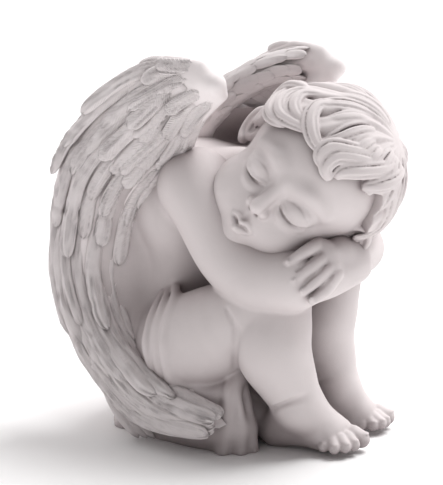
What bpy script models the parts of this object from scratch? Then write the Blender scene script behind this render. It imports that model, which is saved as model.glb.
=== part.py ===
"""A seated sleeping angel with two large wings, cast in one piece.

The figure faces -Y, its left hand side is +X and the ground is z = 0. The figure keeps its pose and its
proportions as shares of its own height: every place and size below HEIGHT is in units, and the statue is
UNITS_TALL of them from the ground to the top of its wings.
"""
import math

import bmesh
import bpy
import numpy as np

HEIGHT = 0.203
UNITS_TALL = 203.0
UNIT = HEIGHT / UNITS_TALL
GRAIN = 1.3
SOLID_TRIANGLES = 9500
UNFOLD_ROUNDS = 20
FOLD_ANGLE = 2.6
TOUCH = 0.02
PART_BY = 0.2
FLAT_BELOW = 0.7
RESIN_COLOUR = (0.80, 0.775, 0.765, 1.0)
RESIN_ROUGHNESS = 0.62

CLAY_LOW = (-84.0, -128.0, -4.0)
CLAY_HIGH = (84.0, 76.0, 210.0)

HEAD = np.array((-9.5, -67.0, 140.5))
HEAD_FRONT = np.array((-0.972, -0.216, -0.023))
HEAD_UP = np.array((0.146, -0.707, 0.691))

TORSO_WIDTH = 37.0
THIGH_RADIUS = 25.0
CALF_RADIUS = 19.5
LOCK_RADIUS = 4.8
WING_THICKNESS = 8.0
SWAGS = 4
SWAG_DEPTH = 9.0
GROUND_FOLDS = 13


def unit(vector):
    return np.asarray(vector, float) / np.linalg.norm(vector)


HEAD_FRONT = unit(HEAD_FRONT)
HEAD_UP = unit(HEAD_UP - HEAD_FRONT * np.dot(HEAD_UP, HEAD_FRONT))
HEAD_LEFT = np.cross(HEAD_UP, HEAD_FRONT)
HEAD_AXES = np.array((HEAD_FRONT, HEAD_LEFT, HEAD_UP))


def in_head(front, left, up):
    """A place in the statue from one given along the head's own front, left and up."""
    return HEAD + front * HEAD_FRONT + left * HEAD_LEFT + up * HEAD_UP


class Clay:
    """A block of clay: a grid of distances to its skin, negative inside, that shapes are pressed into."""

    def __init__(self, low, high, step):
        self.low = np.array(low, float)
        self.step = step
        self.counts = tuple(int(math.ceil((b - a) / step)) + 1 for a, b in zip(low, high))
        self.gap = np.full(self.counts, 12.0, np.float32)

    def window(self, low, high):
        first = np.maximum(np.floor((np.asarray(low) - self.low) / self.step).astype(int), 0)
        last = np.minimum(np.ceil((np.asarray(high) - self.low) / self.step).astype(int) + 1, self.counts)
        grid = []
        for axis in range(3):
            line = self.low[axis] + self.step * np.arange(first[axis], max(last[axis], first[axis] + 1))
            shape = [1, 1, 1]
            shape[axis] = len(line)
            grid.append(line.astype(np.float32).reshape(shape))
        return tuple(slice(a, max(b, a + 1)) for a, b in zip(first, last)), grid

    def press(self, part, shape, blend):
        """Adds a shape to the clay, with a fillet as wide as the blend where they meet."""
        here = self.gap[part]
        mix = np.clip(0.5 + 0.5 * (here - shape) / blend, 0.0, 1.0)
        self.gap[part] = here * (1.0 - mix) + shape * mix - blend * mix * (1.0 - mix)

    def scoop(self, part, shape, blend):
        """Takes a shape out of the clay, with an edge as round as the blend."""
        here = self.gap[part]
        mix = np.clip(0.5 - 0.5 * (here + shape) / blend, 0.0, 1.0)
        self.gap[part] = here * (1.0 - mix) - shape * mix + blend * mix * (1.0 - mix)

    def rope(self, points, radii, blend=1.0, cut=False, rub=0):
        """A rod through the points with a radius of its own at each of them, rubbed smooth in some rounds."""
        points = np.asarray(points, float)
        reach = max(radii) + 1.5 * blend + self.step
        part, (x, y, z) = self.window(points.min(axis=0) - reach, points.max(axis=0) + reach)
        shape = None
        for k in range(len(points) - 1):
            start = points[k]
            run = points[k + 1] - start
            length = max(float(run @ run), 1e-9)
            dx = x - start[0]
            dy = y - start[1]
            dz = z - start[2]
            along = np.clip((dx * run[0] + dy * run[1] + dz * run[2]) / length, 0.0, 1.0)
            rod = np.sqrt((dx - along * run[0]) ** 2 + (dy - along * run[1]) ** 2 + (dz - along * run[2]) ** 2)
            rod = rod - (radii[k] + (radii[k + 1] - radii[k]) * along)
            shape = rod if shape is None else np.minimum(shape, rod)
        for turn in range(3 * rub):
            line = np.moveaxis(shape, turn % 3, 0)
            line[1:-1] = 0.25 * line[:-2] + 0.5 * line[1:-1] + 0.25 * line[2:]
        if cut:
            self.scoop(part, shape, blend)
        else:
            self.press(part, shape, blend)

    def bone(self, start, end, start_radius, end_radius, blend=4.0):
        """A rod with round ends between two places."""
        self.rope((start, end), (start_radius, end_radius), blend)

    def limb(self, stations, radii, blend=4.0):
        """A rod that swells and bends smoothly through its stations."""
        table = np.column_stack((stations, radii))
        rows = [curve_at(table, share) for share in np.linspace(0.0, 1.0, 5 * len(radii))]
        self.rope([row[:3] for row in rows], [row[3] for row in rows], blend, rub=int(max(radii) / 3.0))

    def egg(self, centre, radii, axes=None, blend=4.0, cut=False):
        """An ellipsoid with its radii along the rows of axes."""
        centre = np.asarray(centre, float)
        axes = np.eye(3) if axes is None else axes
        reach = max(radii) + 1.5 * blend + self.step
        part, (x, y, z) = self.window(centre - reach, centre + reach)
        near = 0.0
        far = 0.0
        for k in range(3):
            share = (x - centre[0]) * axes[k][0] + (y - centre[1]) * axes[k][1] + (z - centre[2]) * axes[k][2]
            near = near + (share / radii[k]) ** 2
            far = far + (share / radii[k] ** 2) ** 2
        near = np.sqrt(near)
        shape = near * (near - 1.0) / np.maximum(np.sqrt(far), 1e-6)
        if cut:
            self.scoop(part, shape, blend)
        else:
            self.press(part, shape, blend)

    def blade(self, points, normals, widths, thickness, blend=0.8):
        """A flat leaf along the points: its half-width at each point, its thickness along the normals."""
        for k in range(len(points) - 1):
            start = np.asarray(points[k], float)
            end = np.asarray(points[k + 1], float)
            run = end - start
            length = max(float(np.linalg.norm(run)), 1e-6)
            run = run / length
            out = unit(normals[k] - run * np.dot(normals[k], run))
            side = np.cross(run, out)
            reach = max(widths[k], widths[k + 1]) + 1.5 * blend + self.step
            part, (x, y, z) = self.window(np.minimum(start, end) - reach, np.maximum(start, end) + reach)
            dx = x - start[0]
            dy = y - start[1]
            dz = z - start[2]
            along = dx * run[0] + dy * run[1] + dz * run[2]
            share = np.clip(along / length, 0.0, 1.0)
            past = along - share * length
            across = dx * side[0] + dy * side[1] + dz * side[2]
            above = dx * out[0] + dy * out[1] + dz * out[2]
            half = widths[k] + (widths[k + 1] - widths[k]) * share
            ring = np.sqrt((across / half) ** 2 + (above / thickness) ** 2 + (past / half) ** 2)
            self.press(part, (ring - 1.0) * thickness, blend)

    def reached(self, allowed, seed):
        """Which cells can be walked to from the seed over the allowed cells."""
        walked = seed & allowed
        count = -1
        while walked.sum() != count:
            count = walked.sum()
            for axis in range(3):
                for backward in (False, True):
                    line = np.moveaxis(walked, axis, 0)
                    open_line = np.moveaxis(allowed, axis, 0)
                    order = range(len(line) - 2, -1, -1) if backward else range(1, len(line))
                    for k in order:
                        line[k] |= line[k + 1 if backward else k - 1] & open_line[k]
        return walked

    def soften(self):
        """Rounds off whatever is thinner than the grid."""
        for axis in range(3):
            line = np.moveaxis(self.gap, axis, 0)
            line[1:-1] = 0.25 * line[:-2] + 0.5 * line[1:-1] + 0.25 * line[2:]

    def close_corners(self):
        """Fills the places where two bodies of clay touch only along an edge or at a corner of the grid."""
        changed = True
        while changed:
            inside = self.gap < 0.0
            fill = np.zeros(self.counts, bool)
            for axis in range(3):
                flat = np.moveaxis(inside, axis, 0)
                out = np.moveaxis(fill, axis, 0)
                a = flat[:, :-1, :-1]
                b = flat[:, 1:, :-1]
                c = flat[:, :-1, 1:]
                d = flat[:, 1:, 1:]
                cross = (a & d & ~b & ~c) | (~a & ~d & b & c)
                for part in (out[:, :-1, :-1], out[:, 1:, :-1], out[:, :-1, 1:], out[:, 1:, 1:]):
                    part |= cross
            near = (slice(0, -1), slice(1, None))
            total = sum(inside[near[a], near[b], near[c]].astype(np.int8)
                        for a in (0, 1) for b in (0, 1) for c in (0, 1))
            for b in (0, 1):
                for c in (0, 1):
                    first = inside[near[0], near[b], near[c]]
                    second = inside[near[1], near[1 - b], near[1 - c]]
                    lone = ((total == 2) & first & second) | ((total == 6) & ~first & ~second)
                    for place in [(i, j, k) for i in (0, 1) for j in (0, 1) for k in (0, 1)]:
                        fill[near[place[0]], near[place[1]], near[place[2]]] |= lone
            fill &= ~inside
            changed = bool(fill.any())
            self.gap[fill] = -0.05 * self.step

    def settle(self, seed_place):
        """Fills the hollows that are shut off from outside and drops crumbs that the body doesn't touch."""
        seed = np.zeros(self.counts, bool)
        seed[0, 0, :] = True
        outside = self.reached(self.gap >= 0.0, seed)
        self.gap[~outside] = -np.abs(self.gap[~outside]) - 1e-3
        seed[:] = False
        seed[tuple(np.round((np.asarray(seed_place) - self.low) / self.step).astype(int))] = True
        body = self.reached(self.gap < 0.0, seed)
        self.gap[~body] = np.abs(self.gap[~body]) + 1e-3

    def skin(self):
        """The skin of the clay as points and four-sided faces."""
        gap = self.gap
        inside = gap < 0.0
        cells = tuple(n - 1 for n in self.counts)
        corners = [(a, b, c) for a in (0, 1) for b in (0, 1) for c in (0, 1)]

        def corner(grid, place):
            return grid[tuple(slice(place[k], place[k] + cells[k]) for k in range(3))]

        filled = np.zeros(cells, np.int8)
        for place in corners:
            filled += corner(inside, place)
        active = (filled > 0) & (filled < 8)
        where = np.argwhere(active)
        number = np.full(cells, -1, np.int64)
        number[active] = np.arange(len(where))
        total = np.zeros((len(where), 3))
        count = np.zeros(len(where))
        for place in corners:
            for axis in range(3):
                if place[axis]:
                    continue
                other = list(place)
                other[axis] = 1
                first = gap[tuple((where + place).T)]
                second = gap[tuple((where + other).T)]
                crossed = (first < 0.0) != (second < 0.0)
                share = np.where(crossed, first / np.where(crossed, first - second, 1.0), 0.0)
                point = np.tile(np.array(place, float), (len(where), 1))
                point[:, axis] += share
                total += point * crossed[:, None]
                count += crossed
        points = self.low + self.step * (where + total / count[:, None])
        faces = []
        for axis in range(3):
            side, up = (axis + 1) % 3, (axis + 2) % 3
            head = [slice(1, n - 1) for n in self.counts]
            head[axis] = slice(0, self.counts[axis] - 1)
            tail = list(head)
            tail[axis] = slice(1, self.counts[axis])
            a = inside[tuple(head)]
            b = inside[tuple(tail)]
            for turned in (False, True):
                crossing = np.argwhere((a & ~b) if not turned else (~a & b))
                base = crossing.copy()
                base[:, side] += 1
                base[:, up] += 1
                ring = []
                for shift_side, shift_up in ((-1, -1), (0, -1), (0, 0), (-1, 0)):
                    cell = base.copy()
                    cell[:, side] += shift_side
                    cell[:, up] += shift_up
                    ring.append(number[tuple(cell.T)])
                if turned:
                    ring = ring[::-1]
                faces.append(np.stack(ring, axis=1))
        return points, np.concatenate(faces)


def curve_at(stations, place):
    """A smooth curve through evenly counted stations, at place 0 for the first and 1 for the last."""
    stations = np.asarray(stations, float)
    scaled = min(max(place, 0.0), 1.0) * (len(stations) - 1)
    k = min(int(scaled), len(stations) - 2)
    t = scaled - k
    before = stations[max(k - 1, 0)]
    first = stations[k]
    second = stations[k + 1]
    after = stations[min(k + 2, len(stations) - 1)]
    return 0.5 * (2 * first + (second - before) * t + (2 * before - 5 * first + 4 * second - after) * t ** 2
                  + (3 * first - before - 3 * second + after) * t ** 3)


# Torso and neck
clay = Clay(CLAY_LOW, CLAY_HIGH, GRAIN)
clay.egg((0, 20, 33), (41, 34, 34), blend=6)
clay.bone((0, 22, 46), (0, 14, 102), 37, 35, blend=10)
clay.egg((0, 6, 112), (TORSO_WIDTH + 3, 33, 34), blend=10)
clay.bone((-20, 10, 122), (20, 10, 122), 25, 25, blend=10)
clay.bone((-11, 22, 136), (11, 22, 136), 15, 15, blend=8)
for side in (-1.0, 1.0):
    clay.egg((19 * side, 34, 34), (24, 22, 25), blend=6)
    clay.limb(((9 * side, 44, 132), (17 * side, 45, 118), (20 * side, 40, 100)), (8, 10, 7), blend=8)
clay.rope(((0, 59, 62), (0, 56, 80), (0, 53, 100), (0, 50, 124)), (2.4, 3.0, 3.0, 2.0), blend=7, cut=True)
clay.bone((2, -14, 130), (12, -44, 128), 20, 19, blend=8)

# Legs
THIGH = ((-24, 8, 36), (-37, -22, 55), (-30, -65, 81))
FAR_THIGH = ((24, 8, 36), (27, -20, 52), (19, -60, 82))
CALF = ((-30, -65, 81), (-32, -65, 68), (-34, -65, 56), (-29, -69, 41), (-23, -73, 26))
FAR_CALF = ((19, -60, 82), (17, -58, 68), (15, -56, 54), (16, -61, 41), (17, -66, 27))
for stations in (THIGH, FAR_THIGH):
    clay.limb(stations, (THIGH_RADIUS + 3, THIGH_RADIUS + 1, 17), blend=5)
for stations in (CALF, FAR_CALF):
    clay.limb(stations, (16.5, CALF_RADIUS - 1, CALF_RADIUS, CALF_RADIUS - 3.5, 12.5), blend=2.5)

# Feet
NEAR_FOOT = ((-23, -73, 25), (-17, -55, 9), (-13, -82, 10), (-4, -84, 9))
FAR_FOOT = ((17, -66, 26), (20, -50, 9), (27, -74, 9), (34, -72, 9))
for ankle, heel, outer_ball, inner_ball in (NEAR_FOOT, FAR_FOOT):
    clay.bone(ankle, heel, 12, 9.5, blend=5)
    clay.bone(ankle, outer_ball, 11, 8, blend=5)
    clay.bone(ankle, inner_ball, 10, 8, blend=5)
    clay.bone(heel, outer_ball, 9, 8, blend=5)
NEAR_TOES = ((-20, -87, 5.5), (-19, -93, 5.5), (-14.5, -96.5, 6), (-8.5, -97.5, 6), (0, -96, 6.5))
FAR_TOES = ((23, -80, 5.5), (26, -85, 5.5), (30, -87, 6), (34.5, -86.5, 6), (41, -83, 6.5))
for foot, toes in ((NEAR_FOOT, NEAR_TOES), (FAR_FOOT, FAR_TOES)):
    for k, toe in enumerate(toes):
        share = k / 4.0
        root = np.array(foot[2]) * (1 - share) + np.array(foot[3]) * share + (0, 0, -1)
        size = (3.6, 3.7, 3.9, 4.1, 5.2)[k]
        knuckle = root * 0.35 + np.array(toe) * 0.65 + (0, 0, 1.2)
        clay.rope((root, knuckle, toe), (size + 1, size, size), blend=1.2)

# Arms
NEAR_ARM = ((-34, -14, 134), (-36, -24, 126), (-37, -41, 103), (-37, -60, 93), (-36, -78, 94))
clay.limb(NEAR_ARM, (20.5, 20, 19, 18.5, 15.5), blend=5)
clay.limb(((-36, -78, 94), (-18, -84, 95.5), (2, -88, 97)), (14.5, 13.5, 10), blend=4)
clay.limb(((34, -14, 134), (38, -28, 128), (35, -50, 114), (30, -69, 100)), (20, 18, 17, 14), blend=6)
clay.limb(((29, -71, 99), (4, -83, 102), (-11, -87, 105)), (14, 11.5, 8.8), blend=3)

# Left hand on the right forearm
clay.rope(((-11, -87, 105), (-22, -89, 106)), (8.0, 6.5), blend=3)
clay.rope(((-24, -87, 109), (-23, -92, 101)), (5.6, 5.2), blend=2.5)
FINGERS = (((-25, -86, 111.5), (-37, -87.5, 110), (-45, -83, 105)),
           ((-25, -89.5, 106), (-38.5, -91.5, 102.5), (-45, -87.5, 96.5)),
           ((-24, -92.5, 101), (-37.5, -95, 97), (-43.5, -91, 91.5)),
           ((-22, -95, 97), (-34, -98, 92), (-40, -94, 87)))
for finger in FINGERS:
    clay.rope(finger, (3.7, 3.3, 2.5), blend=0.7)

# Head
clay.egg(in_head(-5, 0, 8), (41, 36.5, 38), HEAD_AXES, blend=3)
clay.egg(in_head(9, 0, -18), (31, 31, 32), HEAD_AXES, blend=6)
for side in (-1.0, 1.0):
    clay.egg(in_head(20, 16 * side, -22), (16, 15, 15), HEAD_AXES, blend=6)
    clay.egg(in_head(29, 14 * side, -3), (7, 9, 7), HEAD_AXES, blend=3)
clay.egg(in_head(28, 0, -41), (8, 9, 7.5), HEAD_AXES, blend=7)
clay.egg(in_head(31, 0, -27), (8, 11, 8), HEAD_AXES, blend=6)
clay.rope((in_head(35, 0, 0), in_head(39, 0, -9), in_head(42, 0, -16)), (3.2, 3.4, 4.2), blend=4)
for side in (-1.0, 1.0):
    clay.egg(in_head(38.5, 4.6 * side, -17.5), (3.6, 2.8, 2.8), HEAD_AXES, blend=2)
    upper_lip = (in_head(36, 9 * side, -28), in_head(39.5, 4 * side, -26.5), in_head(40, 0, -27))
    lower_lip = (in_head(35.5, 8 * side, -30), in_head(38.5, 3.5 * side, -31.5), in_head(39, 0, -31.8))
    clay.rope(upper_lip, (1.2, 2.0, 2.0), blend=1.5)
    clay.rope(lower_lip, (1.2, 2.4, 2.5), blend=1.5)
    lash = []
    for left in (7, 10.5, 14, 17.5, 21):
        bow = (left - 14) ** 2
        lash.append(in_head(35.5 - 0.035 * bow, left * side, -8.5 + 0.045 * bow))
    clay.rope(lash, [0.9] * 5, blend=0.9, cut=True)
    ear = in_head(-4, 36.5 * side, -12)
    clay.egg(ear, (6.5, 3.0, 9.5), HEAD_AXES, blend=2)
    rim = [ear + 7.5 * math.sin(t) * -HEAD_FRONT * 0.8 + 9.5 * math.cos(t) * HEAD_UP + 2.5 * side * HEAD_LEFT
           for t in np.linspace(-0.7, 2.9, 8)]
    clay.rope(rim, [2.2] * 8, blend=1.2)

# Hair
CROWN = (-14, 0, 1)


def scalp_point(polar, turn, lift):
    """A place over the scalp: polar degrees down from the crown, turn degrees round from the front."""
    polar = math.radians(polar)
    turn = math.radians(turn)
    lean = math.radians(14)
    front = math.sin(polar) * math.cos(turn)
    left = math.sin(polar) * math.sin(turn)
    up = math.cos(polar)
    front, up = front * math.cos(lean) - up * math.sin(lean), up * math.cos(lean) + front * math.sin(lean)
    return in_head(-6 + (42.5 + lift) * front, (39.5 + lift) * left, 9 + (39.5 + lift) * up)


def hairline(turn):
    """How many degrees down from the crown the hair reaches at a turn from the front."""
    turn = abs((turn + 180.0) % 360.0 - 180.0)
    return float(np.interp(turn, (0, 35, 65, 90, 120, 180), (76, 80, 96, 108, 126, 136)))


scalp = Clay(CLAY_LOW, CLAY_HIGH, GRAIN)
scalp.egg(in_head(-6, 0, 9), (42, 39, 39), HEAD_AXES)
FACE_SIDE = unit(0.80 * HEAD_FRONT - 0.60 * HEAD_UP)
everything, (x, y, z) = scalp.window(CLAY_LOW, CLAY_HIGH)
ahead = (x - HEAD[0]) * FACE_SIDE[0] + (y - HEAD[1]) * FACE_SIDE[1] + (z - HEAD[2]) * FACE_SIDE[2] - 6.0
clay.press(everything, np.maximum(scalp.gap, ahead), 1.5)

shuffle = np.random.default_rng(11)
TIERS = ((24, 12, 1.0, 1.05), (17, 8, 0.78, 1.1), (9, 3, 0.45, 1.0))
for tier, (count, first, reach, size) in enumerate(TIERS):
    for k in range(count):
        turn = 360.0 * (k + 0.5 * (tier % 2)) / count + shuffle.uniform(-4, 4)
        last = hairline(turn + 12) * reach * shuffle.uniform(0.95, 1.04)
        wave = shuffle.uniform(4, 8) * shuffle.choice((-1, 1))
        phase = shuffle.uniform(0, 6.3)
        stops = []
        radii = []
        for step in range(9):
            share = step / 8.0
            swing = wave * math.sin(4.2 * share + phase) + 20.0 * share ** 3
            lift = -1.2 + 3.0 * math.sin(math.pi * min(share * 1.05, 0.98)) ** 0.7 + 0.9 * tier
            stops.append(scalp_point(first + (last - first) * share, turn + swing, lift))
            radii.append(LOCK_RADIUS * size * (0.40 + 0.75 * math.sin(math.pi * (0.12 + 0.78 * share))))
        clay.rope(stops, radii, blend=0.8)

# Drapery: a loincloth that hangs in folds at the hips, wraps the seat and spreads on the ground
for side in (-1.0, 1.0):
    for k in range(5):
        share = k / 4.0
        top = np.array((side * (36 - 3 * share), 8 + 20 * share, 78 - 2 * share))
        middle = np.array((side * (48 - 2 * share), -8 + 26 * share, 58 - 2 * share))
        low = np.array((side * (54 - 3 * share), -18 + 34 * share, 36 - 3 * share))
        foot = np.array((side * (52 - 2 * share), -26 + 44 * share, 4))
        clay.limb((top, middle, low, foot), (2.4, 3.6, 4.6, 5.6), blend=2.5)
for k in range(SWAGS):
    share = k / (SWAGS - 1.0)
    stops = []
    radii = []
    for turn in np.linspace(-1.25, 1.25, 15):
        sag = SWAG_DEPTH * math.cos((turn - 0.5 * (k % 2)) * 1.2) * (0.3 + 1.3 * share)
        stops.append((40.5 * math.sin(turn), 17 + 40 * math.cos(turn), 76 - 30 * share ** 1.4 - sag))
        radii.append(1.8 + 1.1 * math.sin(2.1 * turn + k) ** 2)
    clay.limb(stops, radii, blend=5.0)
UNDER_THIGH = ((-50, -14, 30), (-49, -26, 29), (-46, -34, 28), (-41, -42, 32), (-37, -47, 39))
clay.limb(UNDER_THIGH, (7, 7, 7, 5, 3), blend=3)
clay.limb(((-46, -16, 16), (-45, -28, 14), (-42, -38, 12), (-38, -46, 12)), (14, 13, 12, 9), blend=5)
HANGING = (((-41, -44, 37), (-45, -46, 30), (-47, -47, 18), (-50, -46, -3)),
           ((-37, -46, 38), (-39, -49, 30), (-40, -51, 18), (-43, -54, -3)),
           ((-33, -46, 34), (-33, -50, 24), (-33, -53, 14), (-34, -57, -3)))
for fold in HANGING:
    clay.limb(fold, (2.5, 3.4, 3.8, 4.6), blend=3.0)
clay.limb(((-10, -16, 14), (-8, -34, 12), (-4, -46, 9)), (18, 15, 10), blend=6)
clay.limb(((-28, -30, 24), (-22, -44, 16), (-16, -50, 8)), (8, 7, 7), blend=4)
clay.limb(((34, 0, 12), (28, -26, 12), (12, -44, 9)), (16, 13, 9), blend=6)
clay.egg((-2, 10, 1), (44, 44, 12), blend=8)
spread = np.random.default_rng(3)
for k in range(GROUND_FOLDS):
    turn = math.tau * k / GROUND_FOLDS
    reach = spread.uniform(0.92, 1.06)
    twist = spread.uniform(0.1, 0.4)
    heel = np.array((47 * math.cos(turn) * reach, 12 + 45 * math.sin(turn) * reach, -1.0))
    middle = np.array((38 * math.cos(turn + twist), 12 + 37 * math.sin(turn + twist), 6.5))
    top = np.array((32 * math.cos(turn + 2 * twist), 14 + 30 * math.sin(turn + 2 * twist), 17))
    clay.limb((top, middle, heel), (3.5, 4.6, 3.4), blend=4.5)

# Wings
INNER = ((-47, -42, 182), (-42, -21, 166), (-39, -10, 150), (-41, 6, 134), (-43, 20, 118), (-44, 27, 98),
         (-46, 29, 76), (-49, 17, 52), (-52, -8, 38), (-54, -32, 30), (-56, -52, 24))
OUTER = ((-52, -30, 199), (-54, -10, 201), (-56, 14, 191), (-58, 41, 169), (-60, 56, 146), (-62, 63, 116),
         (-64, 62, 85), (-66, 48, 53), (-68, 21, 26), (-66, -8, 12), (-59, -48, 14))
BULGE = 0.20
QUILL_DEPTH = 2.4


def wing_point(along, across, lift=0.0):
    """A place on the near wing: along from wrist to tip, across from inner to outer edge, and its normal."""
    inner = curve_at(INNER, along)
    outer = curve_at(OUTER, along)
    ahead = curve_at(INNER, along + 0.02) + curve_at(OUTER, along + 0.02)
    behind = curve_at(INNER, along - 0.02) + curve_at(OUTER, along - 0.02)
    normal = unit(np.cross(outer - inner, ahead - behind))
    breadth = np.linalg.norm(outer - inner)
    bulge = 4.0 * across * (1.0 - across) * breadth * BULGE
    turned = unit(normal + (outer - inner) / breadth * 4.0 * BULGE * (2.0 * across - 1.0))
    return inner + (outer - inner) * across + normal * bulge + turned * lift, turned


LANES = 6
ROWS = ((0.02, 0.13), (0.09, 0.15), (0.17, 0.17), (0.26, 0.19), (0.36, 0.22), (0.47, 0.26), (0.60, 0.30),
        (0.70, 0.30))


def feather(along, across, reach, width, lift, drift, flip, face=1.0):
    """One feather: its base sunk in the wing, its round tip raised, following the curve of the wing."""
    stops = []
    normals = []
    for k in range(6):
        share = k / 5.0
        rise = face * (lift * share ** 1.2 - QUILL_DEPTH) - (WING_THICKNESS if face < 0 else 0.0)
        place, normal = wing_point(min(along + reach * share, 1.0), across + drift * share, rise)
        stops.append(place * flip)
        normals.append(normal * flip)
    widths = [width * w for w in (0.6, 0.85, 1.0, 1.0, 0.92, 0.6)]
    clay.blade(stops, normals, widths, QUILL_DEPTH + 0.6, blend=0.5)


for mirror in (1.0, -1.0):
    flip = np.array((mirror, 1.0, 1.0))
    for lane in range(9):
        across = lane / 8.0
        radius = WING_THICKNESS / 2.0 * (0.7 if lane in (0, 8) else 1.0)
        stops = [wing_point(k / 20.0, across, -radius)[0] * flip for k in range(21)]
        clay.rope(stops, [radius] * 21, blend=3.0)
    ARM = ((-8, 30, 134), (-15, 27, 156), (-24, 15, 173), (-36, 0, 185), (-46, -20, 191), (-50, -40, 190))
    clay.rope([np.array(p) * flip for p in ARM], (12, 9.5, 8.5, 8.5, 8.5, 8.5), blend=4.0)
    for k in range(16):
        share = k / 15.0
        shoulder = curve_at(ARM[:5], 0.85 * (1.0 - share))
        edge = wing_point(0.12 + 0.26 * share, 0.35, -4.0)[0]
        clay.rope((shoulder * flip, edge * flip), (5, 4), blend=3.0)
    for k in range(16):
        share = k / 15.0
        flank = np.array((-22, 24, 138 - 82 * share))
        edge = wing_point(0.30 + 0.38 * share, 0.22, -4.5)[0]
        clay.rope((flank * flip, edge * flip), (4.5 + 5.5 * min(2 * share, 1.0), 4.5), blend=6.0)
    for aside in (0.75, 0.95, 1.15):
        middle = np.array((-66 + 6 * aside, 14 - 4 * aside, 20))
        foot = np.array((-64 + 9 * aside, 12 - 7 * aside, -2))
        root = wing_point(0.78, 0.9, -4.0)[0]
        clay.limb((root * flip, middle * flip, foot * flip), (4.5, 4.5, 3.0), blend=1.5)
    plumage = np.random.default_rng(5)
    for row in range(len(ROWS) - 1, -1, -1):
        along, reach = ROWS[row]
        for lane in range(LANES):
            across = (lane + (0.3 if row % 2 else 0.7)) / LANES
            half_way = along + reach * 0.5
            breadth = np.linalg.norm(curve_at(OUTER, half_way) - curve_at(INNER, half_way))
            width = breadth / LANES * 0.60
            feather(along + plumage.uniform(-0.012, 0.012), across, reach * plumage.uniform(0.92, 1.08), width,
                    2.6 + 0.7 * (lane % 2), plumage.uniform(-0.02, 0.02), flip)
    for lane in range(5):
        for along, reach in ((0.08, 0.42), (0.38, 0.40), (0.62, 0.36)):
            feather(along, (lane + 0.5) / 5.0, reach, 5.2, 2.2, 0.0, flip, face=-1.0)

# Flat underside
clay.gap = np.maximum(clay.gap, (-(clay.low[2] + clay.step * np.arange(clay.counts[2])))[None, None, :])

# One closed solid, centred over the ground
clay.soften()
clay.close_corners()
clay.settle((0.0, 15.0, 80.0))
clay.close_corners()
points, faces = clay.skin()
middle = 0.5 * (points.min(axis=0) + points.max(axis=0))
points = (points - (middle[0], middle[1], 0.0)) * UNIT
for other in list(bpy.data.objects):
    bpy.data.objects.remove(other)
mesh = bpy.data.meshes.new("sleeping_angel")
mesh.from_pydata(points.tolist(), [], faces.tolist())
mesh.validate()
statue = bpy.data.objects.new("sleeping_angel", mesh)
bpy.context.scene.collection.objects.link(statue)
local = (points / UNIT + (middle[0], middle[1], 0.0) - HEAD) @ HEAD_AXES.T
face = (local[:, 0] > 12) & (local[:, 0] - 0.75 * local[:, 2] > 4) & (np.abs(local[:, 1]) < 34)
face &= np.linalg.norm(local, axis=1) < 60
loose = statue.vertex_groups.new(name="loose")
loose.add(np.flatnonzero(~face).tolist(), 0.6, "REPLACE")
loose.add(np.flatnonzero(face).tolist(), 0.3, "REPLACE")
thin = statue.modifiers.new("fewer faces", "DECIMATE")
thin.ratio = SOLID_TRIANGLES / (2.0 * len(faces))
thin.vertex_group = "loose"
thin.vertex_group_factor = 1.0
scene_state = bpy.context.evaluated_depsgraph_get()
solid = bmesh.new()
solid.from_mesh(statue.evaluated_get(scene_state).to_mesh())
statue.modifiers.clear()
for turn in range(UNFOLD_ROUNDS):
    folded = [edge for edge in solid.edges if edge.calc_face_angle() > FOLD_ANGLE]
    corners = {corner for edge in folded for face in edge.link_faces for corner in face.verts}
    bmesh.ops.smooth_vert(solid, verts=list(corners), factor=0.5,
                          use_axis_x=True, use_axis_y=True, use_axis_z=True)
solid.normal_update()
places = {}
for corner in solid.verts:
    places.setdefault(tuple(np.round(np.array(corner.co) / (TOUCH * UNIT)).astype(int)), []).append(corner)
for together in places.values():
    for corner in together if len(together) > 1 else ():
        corner.co += corner.normal * PART_BY * UNIT
for corner in solid.verts:
    if corner.co.z < FLAT_BELOW * UNIT:
        corner.co.z = 0.0
solid.to_mesh(mesh)
solid.free()

# Matte white cast resin
resin = bpy.data.materials.new("cast_resin")
resin.use_nodes = True
surface = resin.node_tree.nodes["Principled BSDF"]
surface.inputs["Base Color"].default_value = RESIN_COLOUR
surface.inputs["Roughness"].default_value = RESIN_ROUGHNESS
surface.inputs["Metallic"].default_value = 0.0
mesh.materials.append(resin)
mesh.shade_smooth()
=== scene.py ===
"""The finish of a seated sleeping angel, cast in one piece of matte white stone resin."""
import math

import bpy
import numpy as np
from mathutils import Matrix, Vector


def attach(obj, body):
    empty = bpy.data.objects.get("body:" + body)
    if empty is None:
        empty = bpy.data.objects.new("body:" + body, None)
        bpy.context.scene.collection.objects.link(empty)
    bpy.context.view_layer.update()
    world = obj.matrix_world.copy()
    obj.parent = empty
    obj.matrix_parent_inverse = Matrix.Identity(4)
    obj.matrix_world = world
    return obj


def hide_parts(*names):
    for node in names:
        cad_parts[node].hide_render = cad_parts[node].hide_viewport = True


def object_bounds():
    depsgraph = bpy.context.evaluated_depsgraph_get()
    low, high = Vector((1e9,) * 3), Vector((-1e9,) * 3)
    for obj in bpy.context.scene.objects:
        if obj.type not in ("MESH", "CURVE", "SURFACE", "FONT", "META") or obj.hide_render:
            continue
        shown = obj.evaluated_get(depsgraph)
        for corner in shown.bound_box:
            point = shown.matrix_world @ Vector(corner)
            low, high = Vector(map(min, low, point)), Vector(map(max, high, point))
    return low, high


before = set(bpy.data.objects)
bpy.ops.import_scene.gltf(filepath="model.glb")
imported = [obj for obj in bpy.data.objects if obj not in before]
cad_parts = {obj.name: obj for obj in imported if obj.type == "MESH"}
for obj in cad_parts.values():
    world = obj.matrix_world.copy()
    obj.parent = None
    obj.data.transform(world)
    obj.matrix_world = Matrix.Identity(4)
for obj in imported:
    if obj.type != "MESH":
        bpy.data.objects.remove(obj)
cad_low, cad_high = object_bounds()

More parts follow.
